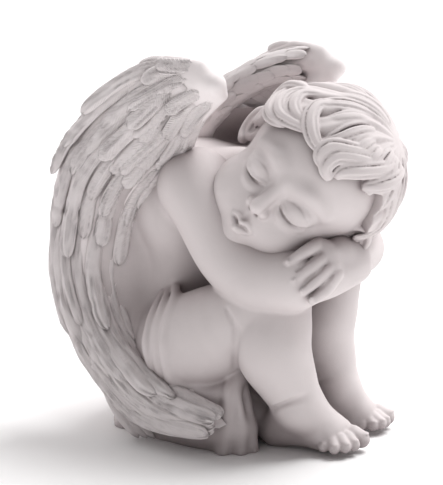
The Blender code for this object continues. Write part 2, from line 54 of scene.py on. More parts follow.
# The resin: polyester filled with marble powder, poured white, demoulded, and rubbed down by hand.
# It is matte and slightly chalky. Hollows get a warm grey painted shade from ambient occlusion, edges stay
# clean, and the plumage is painted a little lighter than the skin, as painted light.


def linear(hex_colour):
    """A colour written as sRGB hex, as linear values with full alpha."""
    shares = [int(hex_colour[k:k + 2], 16) / 255.0 for k in (1, 3, 5)]
    return tuple(s / 12.92 if s <= 0.04045 else ((s + 0.055) / 1.055) ** 2.4 for s in shares) + (1.0,)


def add(tree, kind, settings, inputs):
    """Adds a node with its settings, and with a value or a link in each input that is named."""
    made = tree.nodes.new(kind)
    for name, value in settings.items():
        setattr(made, name, value)
    for name, value in inputs.items():
        if isinstance(value, bpy.types.NodeSocket):
            tree.links.new(value, made.inputs[name])
        else:
            made.inputs[name].default_value = value
    return made


def maths(tree, how, first, second=0.0, clamp=False):
    """The product, sum or the like of two values or links."""
    made = add(tree, "ShaderNodeMath", {"operation": how, "use_clamp": clamp}, {0: first, 1: second})
    return made.outputs[0]


def mapped(tree, value, low, high, to_low, to_high, way="LINEAR"):
    """A value carried over from one range to another."""
    made = add(tree, "ShaderNodeMapRange", {"interpolation_type": way}, {
        "Value": value, "From Min": low, "From Max": high, "To Min": to_low, "To Max": to_high})
    return made.outputs[0]


def noise(tree, place, scale, detail):
    """Cloudy noise over places, from 0 to 1."""
    made = add(tree, "ShaderNodeTexNoise", {}, {"Vector": place, "Scale": scale, "Detail": detail})
    return made.outputs["Fac"]


def placed(name, data):
    """A new object in the scene."""
    made = bpy.data.objects.new(name, data)
    bpy.context.scene.collection.objects.link(made)
    return made


SKIN = "#E3DBDB"
# The plumage colour is the same resin painted lighter than the skin, as painted light on the wings.
PLUMAGE_PAINTED_LIGHTER = "#FBF4F4"
# The hollow colour is painted shade for the hollows, and it also tints the random stain clouds.
PAINTED_SHADE_AND_STAIN = "#8B7F80"
POWDER = 0.0006
PITS = 0.0035
CLOUDS = 1.0 / 45.0
TOOTH = 0.0004
# How far the painted shade in the hollows reaches, on skin and on plumage.
SKIN_SHADE_REACH = 0.030
VANE_SHADE_REACH = 0.0035


def stone_resin(name, clean, reach, painted_shade_share, barbs):
    """Filled resin, with painted shade in its hollows up to its reach. Plumage has barbs, drawn coarse to
    show.
    """
    resin = bpy.data.materials.new(name)
    resin.use_nodes = True
    tree = resin.node_tree
    surface = tree.nodes["Principled BSDF"]
    place = add(tree, "ShaderNodeTexCoord", {}, {}).outputs["Object"]
    # Painted shade: ambient occlusion greys the hollows and crevices where shade falls.
    occlusion = add(tree, "ShaderNodeAmbientOcclusion", {"samples": 6}, {"Distance": reach}).outputs["AO"]
    painted_shade = maths(tree, "MULTIPLY", mapped(tree, occlusion, 0.30, 0.95, 1.0, 0.0), painted_shade_share)
    stain = mapped(tree, noise(tree, place, 1.0 / CLOUDS, 3.0), 0.45, 0.75, 0.0, 0.10)
    colour = add(tree, "ShaderNodeMix", {"data_type": "RGBA"}, {
        "Factor": maths(tree, "ADD", painted_shade, stain, clamp=True), "A": linear(clean), "B": linear(PAINTED_SHADE_AND_STAIN)})
    tree.links.new(colour.outputs["Result"], surface.inputs["Base Color"])
    pits = noise(tree, place, 1.0 / PITS, 4.0)
    grain = maths(tree, "ADD", noise(tree, place, 1.0 / POWDER, 2.0), pits)
    bump = add(tree, "ShaderNodeBump", {}, {"Strength": 0.12, "Distance": TOOTH, "Height": grain})
    if barbs:
        run = add(tree, "ShaderNodeAttribute", {"attribute_name": "barb"}, {}).outputs["Fac"]
        bump = add(tree, "ShaderNodeBump", {}, {
            "Strength": 0.55, "Distance": TOOTH, "Height": maths(tree, "SINE", run),
            "Normal": bump.outputs[0]})
    tree.links.new(bump.outputs[0], surface.inputs["Normal"])
    tree.links.new(mapped(tree, pits, 0.0, 1.0, 0.56, 0.72), surface.inputs["Roughness"])
    surface.inputs["IOR"].default_value = 1.5
    return resin


smooth_resin = stone_resin("matte_stone_resin", SKIN, SKIN_SHADE_REACH, 0.80, False)
# The plumage resin is painted lighter and gets less painted shade, as painted light on the wings.
plumage_resin = stone_resin("matte_stone_resin_plumage", PLUMAGE_PAINTED_LIGHTER, VANE_SHADE_REACH, 0.60, True)

# The body: torso, arms, legs and feet, modelled in clay before the mould was taken, so they flow together.
# It is cast with the rest. Places are in units, UNITS_TALL of them from the ground to the top of the wings.
UNITS_TALL = 203.0
UNIT = (cad_high[2] - cad_low[2]) / UNITS_TALL
CENTRE = np.array((0.0, -26.94, 0.0))
BODY_GRAIN = 0.8
BODY_TRIANGLES = 175000


def unit(vector):
    return np.asarray(vector, float) / np.linalg.norm(vector)


def curve_at(stations, place):
    """A smooth curve through evenly counted stations, at place 0 for the first and 1 for the last."""
    stations = np.asarray(stations, float)
    scaled = min(max(place, 0.0), 1.0) * (len(stations) - 1)
    k = min(int(scaled), len(stations) - 2)
    t = scaled - k
    before = stations[max(k - 1, 0)]
    first = stations[k]
    second = stations[k + 1]
    after = stations[min(k + 2, len(stations) - 1)]
    return 0.5 * (2 * first + (second - before) * t + (2 * before - 5 * first + 4 * second - after) * t ** 2
                  + (3 * first - before - 3 * second + after) * t ** 3)


class Clay:
    """A block of clay: a grid of distances to its skin, negative inside, that shapes are pressed into."""

    def __init__(self, low, high, step):
        self.low = np.array(low, float)
        self.step = step
        self.counts = tuple(int(math.ceil((b - a) / step)) + 1 for a, b in zip(low, high))
        self.gap = np.full(self.counts, 12.0, np.float32)

    def window(self, low, high):
        first = np.maximum(np.floor((np.asarray(low) - self.low) / self.step).astype(int), 0)
        last = np.minimum(np.ceil((np.asarray(high) - self.low) / self.step).astype(int) + 1, self.counts)
        grid = []
        for axis in range(3):
            line = self.low[axis] + self.step * np.arange(first[axis], max(last[axis], first[axis] + 1))
            shape = [1, 1, 1]
            shape[axis] = len(line)
            grid.append(line.astype(np.float32).reshape(shape))
        return tuple(slice(a, max(b, a + 1)) for a, b in zip(first, last)), grid

    def press(self, part, shape, blend, cut=False):
        """Adds a shape to the clay or takes it out, with a fillet as wide as the blend where they meet."""
        here = self.gap[part]
        if cut:
            mix = np.clip(0.5 - 0.5 * (here + shape) / blend, 0.0, 1.0)
            self.gap[part] = here * (1.0 - mix) - shape * mix + blend * mix * (1.0 - mix)
        else:
            mix = np.clip(0.5 + 0.5 * (here - shape) / blend, 0.0, 1.0)
            self.gap[part] = here * (1.0 - mix) + shape * mix - blend * mix * (1.0 - mix)

    def rope(self, points, radii, blend=1.0, cut=False, rub=0):
        """A rod through the points with a radius of its own at each, rubbed smooth in some rounds."""
        points = np.asarray(points, float)
        reach = max(radii) + 1.5 * blend + self.step
        part, (x, y, z) = self.window(points.min(axis=0) - reach, points.max(axis=0) + reach)
        shape = None
        for k in range(len(points) - 1):
            start = points[k]
            run = points[k + 1] - start
            length = max(float(run @ run), 1e-9)
            dx = x - start[0]
            dy = y - start[1]
            dz = z - start[2]
            along = np.clip((dx * run[0] + dy * run[1] + dz * run[2]) / length, 0.0, 1.0)
            rod = np.sqrt((dx - along * run[0]) ** 2 + (dy - along * run[1]) ** 2
                          + (dz - along * run[2]) ** 2)
            rod = rod - (radii[k] + (radii[k + 1] - radii[k]) * along)
            shape = rod if shape is None else np.minimum(shape, rod)
        for turn in range(3 * rub):
            line = np.moveaxis(shape, turn % 3, 0)
            line[1:-1] = 0.25 * line[:-2] + 0.5 * line[1:-1] + 0.25 * line[2:]
        self.press(part, shape, blend, cut)

    def limb(self, stations, radii, blend=4.0, cut=False):
        """A rod that swells and bends smoothly through its stations."""
        table = np.column_stack((stations, radii))
        rows = [curve_at(table, share) for share in np.linspace(0.0, 1.0, 5 * len(radii))]
        self.rope([row[:3] for row in rows], [row[3] for row in rows], blend, cut, int(max(radii) / 2.0))

    def egg(self, centre, radii, axes=None, blend=4.0, cut=False):
        """An ellipsoid with its radii along the rows of axes."""
        centre = np.asarray(centre, float)
        axes = np.eye(3) if axes is None else axes
        reach = max(radii) + 1.5 * blend + self.step
        part, (x, y, z) = self.window(centre - reach, centre + reach)
        near = 0.0
        far = 0.0
        for k in range(3):
            share = (x - centre[0]) * axes[k][0] + (y - centre[1]) * axes[k][1]
            share = share + (z - centre[2]) * axes[k][2]
            near = near + (share / radii[k]) ** 2
            far = far + (share / radii[k] ** 2) ** 2
        near = np.sqrt(near)
        shape = near * (near - 1.0) / np.maximum(np.sqrt(far), 1e-6)
        self.press(part, shape, blend, cut)

    def reached(self, allowed, seed):
        """Which cells can be walked to from the seed over the allowed cells."""
        walked = seed & allowed
        count = -1
        while walked.sum() != count:
            count = walked.sum()
            for axis in range(3):
                for backward in (False, True):
                    line = np.moveaxis(walked, axis, 0)
                    open_line = np.moveaxis(allowed, axis, 0)
                    order = range(len(line) - 2, -1, -1) if backward else range(1, len(line))
                    for k in order:
                        line[k] |= line[k + 1 if backward else k - 1] & open_line[k]
        return walked

    def settle(self, seed_place):
        """Fills the hollows that are shut off from outside and drops crumbs that the body doesn't touch."""
        seed = np.zeros(self.counts, bool)
        seed[0, 0, :] = True
        outside = self.reached(self.gap >= 0.0, seed)
        self.gap[~outside] = -np.abs(self.gap[~outside]) - 1e-3
        seed[:] = False
        seed[tuple(np.round((np.asarray(seed_place) - self.low) / self.step).astype(int))] = True
        body = self.reached(self.gap < 0.0, seed)
        self.gap[~body] = np.abs(self.gap[~body]) + 1e-3

    def skin(self):
        """The skin of the clay as points and four-sided faces."""
        gap = self.gap
        inside = gap < 0.0
        cells = tuple(n - 1 for n in self.counts)
        corners = [(a, b, c) for a in (0, 1) for b in (0, 1) for c in (0, 1)]
        filled = np.zeros(cells, np.int8)
        for place in corners:
            filled += inside[tuple(slice(place[k], place[k] + cells[k]) for k in range(3))]
        active = (filled > 0) & (filled < 8)
        where = np.argwhere(active)
        number = np.full(cells, -1, np.int64)
        number[active] = np.arange(len(where))
        total = np.zeros((len(where), 3))
        count = np.zeros(len(where))
        for place in corners:
            for axis in range(3):
                if place[axis]:
                    continue
                other = list(place)
                other[axis] = 1
                first = gap[tuple((where + place).T)]
                second = gap[tuple((where + other).T)]
                crossed = (first < 0.0) != (second < 0.0)
                share = np.where(crossed, first / np.where(crossed, first - second, 1.0), 0.0)
                point = np.tile(np.array(place, float), (len(where), 1))
                point[:, axis] += share
                total += point * crossed[:, None]
                count += crossed
        points = self.low + self.step * (where + total / count[:, None])
        faces = []
        for axis in range(3):
            side, up = (axis + 1) % 3, (axis + 2) % 3
            head = [slice(1, n - 1) for n in self.counts]
            head[axis] = slice(0, self.counts[axis] - 1)
            tail = list(head)
            tail[axis] = slice(1, self.counts[axis])
            a = inside[tuple(head)]
            b = inside[tuple(tail)]
            for turned in (False, True):
                base = np.argwhere((a & ~b) if not turned else (~a & b))
                base[:, side] += 1
                base[:, up] += 1
                ring = []
                for shift_side, shift_up in ((-1, -1), (0, -1), (0, 0), (-1, 0)):
                    cell = base.copy()
                    cell[:, side] += shift_side
                    cell[:, up] += shift_up
                    ring.append(number[tuple(cell.T)])
                faces.append(np.stack(ring[::-1] if turned else ring, axis=1))
        return points, np.concatenate(faces)


def cast(name, points, faces, resin, triangles):
    """One piece of the casting: its skin in metres, smooth, and no finer than it needs to be."""
    mesh = bpy.data.meshes.new(name)
    mesh.from_pydata(((points - CENTRE) * UNIT).tolist(), [], faces.tolist())
    piece = placed(name, mesh)
    thin = piece.modifiers.new("fewer faces", "DECIMATE")
    thin.ratio = min(1.0, triangles / (2.0 * len(faces)))
    own(piece, resin)
    piece.data.shade_smooth()


def own(piece, resin):
    """Makes a piece plain mesh, with its material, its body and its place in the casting."""
    state = bpy.context.evaluated_depsgraph_get()
    piece.data = bpy.data.meshes.new_from_object(piece.evaluated_get(state))
    piece.modifiers.clear()
    piece.data.materials.clear()
    piece.data.materials.append(resin)
    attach(piece, "root")
    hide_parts("sleeping_angel")


body = Clay((-70, -112, -3), (70, 65, 166), BODY_GRAIN)
body.egg((0, 20, 33), (41, 34, 34), blend=6)
body.rope(((0, 22, 46), (0, 14, 102)), (37, 35), blend=10)
body.egg((0, 6, 112), (40, 33, 34), blend=10)
body.rope(((-20, 10, 122), (20, 10, 122)), (25, 25), blend=10)
body.rope(((-11, 22, 136), (11, 22, 136)), (15, 15), blend=8)
for side in (-1.0, 1.0):
    body.egg((19 * side, 34, 34), (24, 22, 25), blend=6)
    body.limb(((9 * side, 44, 132), (17 * side, 45, 118), (20 * side, 40, 100)), (8, 10, 7), blend=8)
body.rope(((0, 59, 62), (0, 56, 80), (0, 53, 100), (0, 50, 124)), (2.4, 3.0, 3.0, 2.0), blend=7, cut=True)
body.rope(((2, -14, 130), (12, -44, 128)), (20, 19), blend=8)
RIGHT_ARM = ((-34, -14, 134), (-36, -24, 126), (-37, -41, 103), (-37, -60, 93), (-36, -78, 94))
body.limb(RIGHT_ARM, (20.5, 20, 19, 18.5, 15.5), blend=5)
RIGHT_FOREARM = ((-36, -78, 94), (-18, -84, 95.5), (2, -88, 97))
body.limb(RIGHT_FOREARM, (14.5, 13.5, 10), blend=4)
LEFT_ARM = ((34, -14, 134), (38, -28, 128), (35, -50, 114), (30, -69, 100))
body.limb(LEFT_ARM, (20, 18, 17, 14), blend=6)
LEFT_FOREARM = ((29, -71, 99), (4, -83, 102), (-11, -87, 105))
body.limb(LEFT_FOREARM, (14, 11.5, 8.8), blend=3)
THIGHS = (((-24, 8, 36), (-37, -22, 55), (-30, -65, 81)), ((24, 8, 36), (27, -20, 52), (19, -60, 82)))
CALVES = (((-30, -65, 81), (-32, -65, 68), (-34, -65, 56), (-29, -69, 41), (-23, -73, 26)),
          ((19, -60, 82), (17, -58, 68), (15, -56, 54), (16, -61, 41), (17, -66, 27)))
for stations in THIGHS:
    body.limb(stations, (28, 26, 17), blend=1.6)
for stations in CALVES:
    body.limb(stations, (16.5, 18.5, 19.5, 16.0, 12.5), blend=1.6)
KNEE_CREASE = ((-53, -50, 78), (-53.5, -54, 73), (-53, -56, 68), (-52.5, -55, 57), (-45, -49, 45))
body.limb(KNEE_CREASE, (0.4, 1.0, 1.3, 1.4, 1.2), blend=1.8, cut=True)
FEET = (((-23, -73, 25), (-17, -55, 9), (-13, -82, 10), (-4, -84, 9)),
        ((17, -66, 26), (20, -50, 9), (27, -74, 9), (34, -72, 9)))
TOES = (((-20, -87, 5.5), (-19, -93, 5.5), (-14.5, -96.5, 6), (-8.5, -97.5, 6), (0, -96, 6.5)),
        ((23, -80, 5.5), (26, -85, 5.5), (30, -87, 6), (34.5, -86.5, 6), (41, -83, 6.5)))
for (ankle, heel, outer_ball, inner_ball), toes in zip(FEET, TOES):
    body.rope((ankle, heel), (12, 9.5), blend=5)
    body.rope((ankle, outer_ball), (11, 8), blend=5)
    body.rope((ankle, inner_ball), (10, 8), blend=5)
    body.rope((heel, outer_ball), (9, 8), blend=5)
    crease = [np.array(ankle) + (15.4 * math.cos(t), 14.6 * math.sin(t), 9.0 - 3.7 * (4.3 - t) ** 2)
              for t in np.linspace(2.7, 5.2, 9)]
    body.limb(crease, [0.3, 0.6, 0.8, 0.9, 0.9, 0.9, 0.8, 0.6, 0.3], blend=3.5, cut=True)
    for k, toe in enumerate(toes):
        share = k / 4.0
        root = np.array(outer_ball) * (1 - share) + np.array(inner_ball) * share + (0, 0, -1)
        size = (2.9, 3.0, 3.2, 3.4, 4.6)[k]
        middle = root * 0.35 + np.array(toe) * 0.65 + (0, 0, 1.6)
        body.rope((root, middle, toe), (size + 1.6, size + 0.3, size), blend=0.8)
        ahead = unit((toe - root) * (1, 1, 0))
        body.egg(toe + ahead * size * 0.35 + (0, 0, size * 0.72), (size * 0.6, size * 0.6, 0.9), blend=0.5)

# The left hand, laid over the right forearm with its fingers a little apart.
# Each finger is a thin roll of clay pressed on over the knuckles.
FINGERS = (((-25, -86, 111.5), (-37, -87.5, 110), (-45, -83, 105)),
           ((-25, -89.5, 106), (-38.5, -91.5, 102.5), (-45, -87.5, 96.5)),
           ((-24, -92.5, 101), (-37.5, -95, 97), (-43.5, -91, 91.5)),
           ((-22, -95, 97), (-34, -98, 92), (-40, -94, 87)))
body.rope(((-11, -87, 105), (-22, -89, 106)), (8.0, 6.5), blend=3)
body.rope(((-24, -87, 109), (-23, -92, 101)), (5.6, 5.2), blend=2.5)
for finger in FINGERS:
    body.limb(finger, (3.9, 3.4, 2.6), blend=0.5)
    tip = np.array(finger[2])
    body.egg(tip + (-2.2, -1.0, 0.8), (1.7, 1.0, 1.7), blend=0.5)
for upper, lower in zip(FINGERS[:-1], FINGERS[1:]):
    gap = [0.5 * (np.array(a) + np.array(b)) + (0, -2.4, 0.6) for a, b in zip(upper, lower)]
    gap[0] = 0.6 * gap[0] + 0.4 * gap[1]
    body.limb(gap, (0.2, 0.6, 0.6), blend=0.9, cut=True)

# The cloth: a loincloth that hangs in soft folds at the hips, wraps the seat and spreads on the ground.
# It is modelled as part of the body, so its folds are thick and closed.
HEM = ((38, 34), (43, 16), (45, -4), (44, -24), (40, -38))
for side in (-1.0, 1.0):
    for share in np.linspace(0.0, 1.0, 5):
        top = (side * (28 - 3 * share), 8 + 20 * share, 74 - 2 * share)
        middle = (side * (48 - 2 * share), -8 + 26 * share, 58 - 2 * share)
        low = (side * (54 - 3 * share), -18 + 34 * share, 36 - 3 * share)
        foot = (side * (48 - 2 * share), -26 + 44 * share, 8)
        body.limb((top, middle, low, foot), (2.2, 3.2, 4.2, 4.6), blend=3.5)
    hem = [(out * side, back, 2) for out, back in HEM]
    body.limb(hem, (6, 7, 7, 7, 7), blend=7)
HIP_FOLDS = (((-32, 2, 79), (-49, -12, 73), (-59, -16, 61), (-61, -17, 50), (-57, -17, 34)),
             ((-36, 8, 75), (-48, 3, 67), (-56, -1, 60), (-60, -3, 52), (-58, -5, 40)),
             ((-34, 5, 77), (-50, -4, 70), (-58, -8, 58), (-60, -10, 46), (-57, -12, 34)))
for fold, size in zip(HIP_FOLDS, (3.6, 3.0, 2.6)):
    body.limb(fold, (0.6 * size, size, 1.1 * size, 1.1 * size, size), blend=2.2)
for k in range(4):
    share = k / 3.0
    turns = np.linspace(-1.25, 1.25, 15)
    sags = 9.0 * np.cos((turns - 0.5 * (k % 2)) * 1.2) * (0.3 + 1.3 * share)
    stops = [(38.2 * math.sin(turn), 17 + 40 * math.cos(turn), 76 - 30 * share ** 1.4 - sag)
             for turn, sag in zip(turns, sags)]
    body.limb(stops, 1.8 + 1.1 * np.sin(2.1 * turns + k) ** 2, blend=4.0)
UNDER_THIGH = ((-50, -14, 30), (-49, -26, 29), (-46, -34, 28), (-41, -42, 32), (-37, -47, 39))
body.limb(UNDER_THIGH, (7, 7, 7, 5, 3), blend=3)
body.limb(((-46, -16, 16), (-45, -28, 14), (-42, -38, 12), (-38, -46, 12)), (14, 13, 12, 9), blend=5)
body.limb(((-36, -38, 36), (-36, -38, 24), (-36, -37, 10), (-38, -38, -3)), (4, 8, 10, 11), blend=4)
HANGING = (((-41, -44, 38), (-46, -45, 31), (-47, -45, 18), (-49, -44, -3)),
           ((-38, -46, 40), (-42, -48, 30), (-42, -50, 17), (-43, -51, -3)),
           ((-34, -46, 36), (-35, -49, 25), (-35, -51, 13), (-36, -53, -3)))
for fold in HANGING:
    body.limb(fold, (2.0, 2.8, 3.2, 4.0), blend=3.2)
body.limb(((-10, -16, 14), (-8, -34, 12), (-4, -46, 9)), (18, 15, 10), blend=6)
body.limb(((-28, -30, 24), (-22, -44, 16), (-16, -50, 8)), (8, 7, 7), blend=4)
body.limb(((34, 0, 12), (28, -26, 12), (12, -44, 9)), (16, 13, 9), blend=6)
body.egg((-2, 10, 1), (44, 44, 12), blend=8)
spread = np.random.default_rng(3)
for turn in np.arange(9) * math.tau / 9:
    reach = spread.uniform(0.92, 1.06)
    twist = spread.uniform(0.1, 0.4)
    heel = (47 * math.cos(turn) * reach, 12 + 45 * math.sin(turn) * reach, -1.0)
    middle = (38 * math.cos(turn + twist), 12 + 37 * math.sin(turn + twist), 6.5)
    top = (32 * math.cos(turn + 2 * twist), 14 + 30 * math.sin(turn + 2 * twist), 17)
    body.limb((top, middle, heel), (3.2, 4.8, 4.4), blend=9.0)

# The wings grow out of the shoulder blades: an arm of bone, and a web that ties it to back and flank.
# Inner and outer edge of the right wing run from its wrist to its tip; the left wing mirrors it.
INNER = ((-47, -42, 182), (-42, -21, 166), (-39, -10, 150), (-41, 6, 134), (-43, 20, 118), (-44, 27, 98),
         (-46, 29, 76), (-49, 17, 52), (-52, -8, 38), (-54, -32, 30), (-56, -52, 24))
OUTER = ((-52, -30, 199), (-54, -10, 201), (-56, 14, 191), (-58, 41, 169), (-60, 56, 146), (-62, 63, 116),
         (-64, 62, 85), (-66, 48, 53), (-68, 21, 26), (-66, -8, 12), (-59, -48, 14))
WING_ARM = ((-8, 30, 134), (-15, 27, 156), (-24, 15, 173), (-36, 0, 185), (-46, -20, 191), (-50, -40, 190))
BULGE = 0.20
WING_THICKNESS = 8.0


def wing_point(along, across, lift=0.0):
    """A place on the right wing and its normal: along from wrist to tip, across from the inner edge."""
    inner = curve_at(INNER, along)
    outer = curve_at(OUTER, along)
    ahead = curve_at(INNER, along + 0.02) + curve_at(OUTER, along + 0.02)
    behind = curve_at(INNER, along - 0.02) + curve_at(OUTER, along - 0.02)
    normal = unit(np.cross(outer - inner, ahead - behind))
    breadth = np.linalg.norm(outer - inner)
    bulge = 4.0 * across * (1.0 - across) * breadth * BULGE
    turned = unit(normal + (outer - inner) / breadth * 4.0 * BULGE * (2.0 * across - 1.0))
    return inner + (outer - inner) * across + normal * bulge + turned * lift, turned


SIDES = {"right": np.array((1.0, 1.0, 1.0)), "left": np.array((-1.0, 1.0, 1.0))}
for flip in SIDES.values():
    for share in np.linspace(0.0, 1.0, 16):
        shoulder = curve_at(WING_ARM[:5], 0.85 * (1.0 - share))
        edge = wing_point(0.12 + 0.26 * share, 0.35, -4.0)[0]
        body.rope((shoulder * flip, edge * flip), (5, 4), blend=3.0)
        flank = np.array((-22, 24, 138 - 82 * share))
        edge = wing_point(0.30 + 0.38 * share, 0.22, -4.5)[0]
        body.rope((flank * flip, edge * flip), (4.5 + 5.5 * min(2 * share, 1.0), 4.5), blend=6.0)
ground = -(body.low[2] + body.step * np.arange(body.counts[2]))[None, None, :]
body.gap = np.maximum(body.gap, ground)
body.settle((0.0, 15.0, 80.0))
cast("body", *body.skin(), smooth_resin, BODY_TRIANGLES)

# The head: a sleeping child's, resting on the folded arms, turned to its right, with eyes and mouth shut.
# Its face is plain and calm, on the usual proportions of a child's head, and rubbed smoother than the rest.
HEAD = np.array((-9.5, -67.0, 140.5))
HEAD_FRONT = unit((-0.972, -0.216, -0.023))
HEAD_UP = np.array((0.146, -0.707, 0.691))
HEAD_UP = unit(HEAD_UP - HEAD_FRONT * np.dot(HEAD_UP, HEAD_FRONT))
HEAD_LEFT = np.cross(HEAD_UP, HEAD_FRONT)
HEAD_AXES = np.array((HEAD_FRONT, HEAD_LEFT, HEAD_UP))
HEAD_REACH = 58
HEAD_GRAIN = 0.6
HEAD_TRIANGLES = 110000


def in_head(front, left, up):
    """A place in the statue from one given along the head's own front, left and up."""
    return HEAD + front * HEAD_FRONT + left * HEAD_LEFT + up * HEAD_UP


head = Clay(HEAD - HEAD_REACH, HEAD + HEAD_REACH, HEAD_GRAIN)
head.egg(in_head(-5, 0, 8), (41, 36.5, 38), HEAD_AXES, blend=3)
head.egg(in_head(9, 0, -18), (31, 31, 32), HEAD_AXES, blend=6)
head.egg(in_head(28, 0, -39), (8, 9, 7.5), HEAD_AXES, blend=7)
head.egg(in_head(32, 0, -22), (8, 11, 8), HEAD_AXES, blend=6)
head.limb((in_head(35, 0, 5), in_head(38, 0, -2), in_head(42.5, 0, -9.8)), (3.0, 3.0, 4.1), blend=4)
for side in (-1.0, 1.0):
    head.egg(in_head(20, 16 * side, -20), (16, 15, 15), HEAD_AXES, blend=6)
    brow = (in_head(32, 4 * side, 8), in_head(33, 13 * side, 10.5), in_head(25, 23 * side, 6))
    head.limb(brow, (3, 3.4, 2.5), blend=6)
    head.egg(in_head(28.5, 14 * side, 0), (8.5, 9.5, 7), HEAD_AXES, blend=2)
    head.egg(in_head(39, 4.4 * side, -11.8), (3.4, 2.7, 2.7), HEAD_AXES, blend=1.5)
    head.egg(in_head(41, 2.3 * side, -14.4), (1.6, 1.1, 0.8), HEAD_AXES, blend=0.8, cut=True)


def on_face(left, up, sink):
    """The place on the skin of the face, seen from its front, that is sunk below the skin by so much."""
    for front in np.arange(50.0, 5.0, -0.4):
        place = in_head(front, left, up)
        gap = head.gap[tuple(np.round((place - head.low) / head.step).astype(int))]
        if gap < 0.0:
            break
    return in_head(front - gap - sink, left, up)


for side in (-1.0, 1.0):
    outs = np.linspace(6.5, 22.0, 9)
    bow = ((outs - 14.0) / 8.0) ** 2
    lid = [on_face(out * side, 2.6 * bend - 4.2, 0.5) for out, bend in zip(outs, bow)]
    lash = [on_face(out * side, 2.6 * bend - 5.6, -0.1) for out, bend in zip(outs, bow)]
    crease = [on_face(out * side, 4.0 - 3.0 * bend, -0.1) for out, bend in zip(outs, bow)]
    bag = [on_face(out * side, 3.0 * bend - 9.0, 0.7) for out, bend in zip(outs, bow)]
    head.limb(lid, [0.7, 1.2, 1.5, 1.6, 1.7, 1.6, 1.5, 1.2, 0.8], blend=1.2)
    head.limb(bag, [0.6, 1.1, 1.4, 1.6, 1.6, 1.6, 1.3, 1.0, 0.5], blend=2.4)
    head.limb(lash, [0.4, 0.6, 0.7, 0.75, 0.75, 0.75, 0.7, 0.6, 0.5], blend=0.5, cut=True)
    head.limb(crease, [0.2, 0.3, 0.4, 0.5, 0.5, 0.5, 0.4, 0.3, 0.2], blend=1.2, cut=True)
    ear = in_head(0, 35 * side, -4)
    flare = unit(0.75 * side * HEAD_LEFT - 0.66 * HEAD_FRONT)
    opening = unit(0.66 * side * HEAD_LEFT + 0.75 * HEAD_FRONT)
    shell = np.array((opening, flare, HEAD_UP))
    head.egg(ear + 4.0 * flare, (3.0, 7.0, 10.0), shell, blend=2)
    rim = [ear + (3.0 + 8.0 * math.sin(t)) * flare + 10.2 * math.cos(t) * HEAD_UP + 1.6 * opening
           for t in np.linspace(-0.9, 3.1, 9)]
    head.limb(rim, [1.6, 2.0, 2.1, 2.1, 2.1, 2.0, 2.0, 2.3, 2.8], blend=0.8)
    head.egg(ear + 4.0 * flare + 3.2 * opening, (3.4, 4.2, 6.2), shell, blend=1.2, cut=True)
    inner = [ear + (3.0 + 4.4 * math.sin(t)) * flare + 6.4 * math.cos(t) * HEAD_UP + 1.2 * opening
             for t in np.linspace(0.2, 2.6, 7)]
    head.limb(inner, [1.0, 1.2, 1.3, 1.3, 1.3, 1.2, 1.0], blend=0.8)
for side in (-1.0, 1.0):
    peak = [on_face(6.8 * side, -23.4, 0.4), on_face(3.0 * side, -21.3, 0.2), on_face(0.0, -21.9, 0.4)]
    full = [on_face(6.2 * side, -24.6, 0.4), on_face(3.0 * side, -26.3, -0.2), on_face(0.0, -26.5, -0.1)]
    head.limb(peak, (0.8, 1.8, 1.7), blend=1.2)
    head.limb(full, (0.8, 2.2, 2.3), blend=1.2)
mouth = [on_face(left, -23.9 - 0.35 * math.cos(left), -0.2) for left in np.linspace(-7.0, 7.0, 9)]
head.limb(mouth, [0.4, 0.5, 0.55, 0.55, 0.55, 0.55, 0.55, 0.5, 0.4], blend=0.6, cut=True)
head.limb((on_face(0, -17.6, -0.5), on_face(0, -19.6, -0.5)), (0.9, 1.1), blend=1.5, cut=True)
cast("head", *head.skin(), smooth_resin, HEAD_TRIANGLES)

# The hair: short and wavy, combed from a whorl behind the crown, with curls at forehead, ear and nape.
# It is modelled as a cap with combed waves, and rolled locks of several strands laid over its edge.
HAIR_GRAIN = 0.6
HAIR_TRIANGLES = 165000
SCALP_CENTRE = (-6.0, 0.0, 9.0)
SCALP = (42.5, 39.5, 39.5)
LEAN = math.radians(14)
WHORL = math.radians(22)
WAVES = 19
STRANDS = 4


def scalp_point(polar, turn, lift):
    """A place over the scalp: polar degrees down from the crown, turn degrees round from the front."""
    polar = math.radians(polar)
    turn = math.radians(turn)
    front = math.sin(polar) * math.cos(turn)
    left = math.sin(polar) * math.sin(turn)
    up = math.cos(polar)
    front, up = front * math.cos(LEAN) - up * math.sin(LEAN), up * math.cos(LEAN) + front * math.sin(LEAN)
    return in_head(SCALP_CENTRE[0] + (SCALP[0] + lift) * front, (SCALP[1] + lift) * left,
                   SCALP_CENTRE[2] + (SCALP[2] + lift) * up)


def hairline(turn):
    """How many degrees down from the crown the hair reaches at a turn from the front."""
    turn = (np.asarray(turn) + 180.0) % 360.0 - 180.0
    return np.interp(turn, (-180, -120, -90, -60, -35, -15, 0, 40, 62, 85, 120, 180),
                     (136, 126, 108, 96, 84, 72, 70, 66, 70, 98, 122, 136))


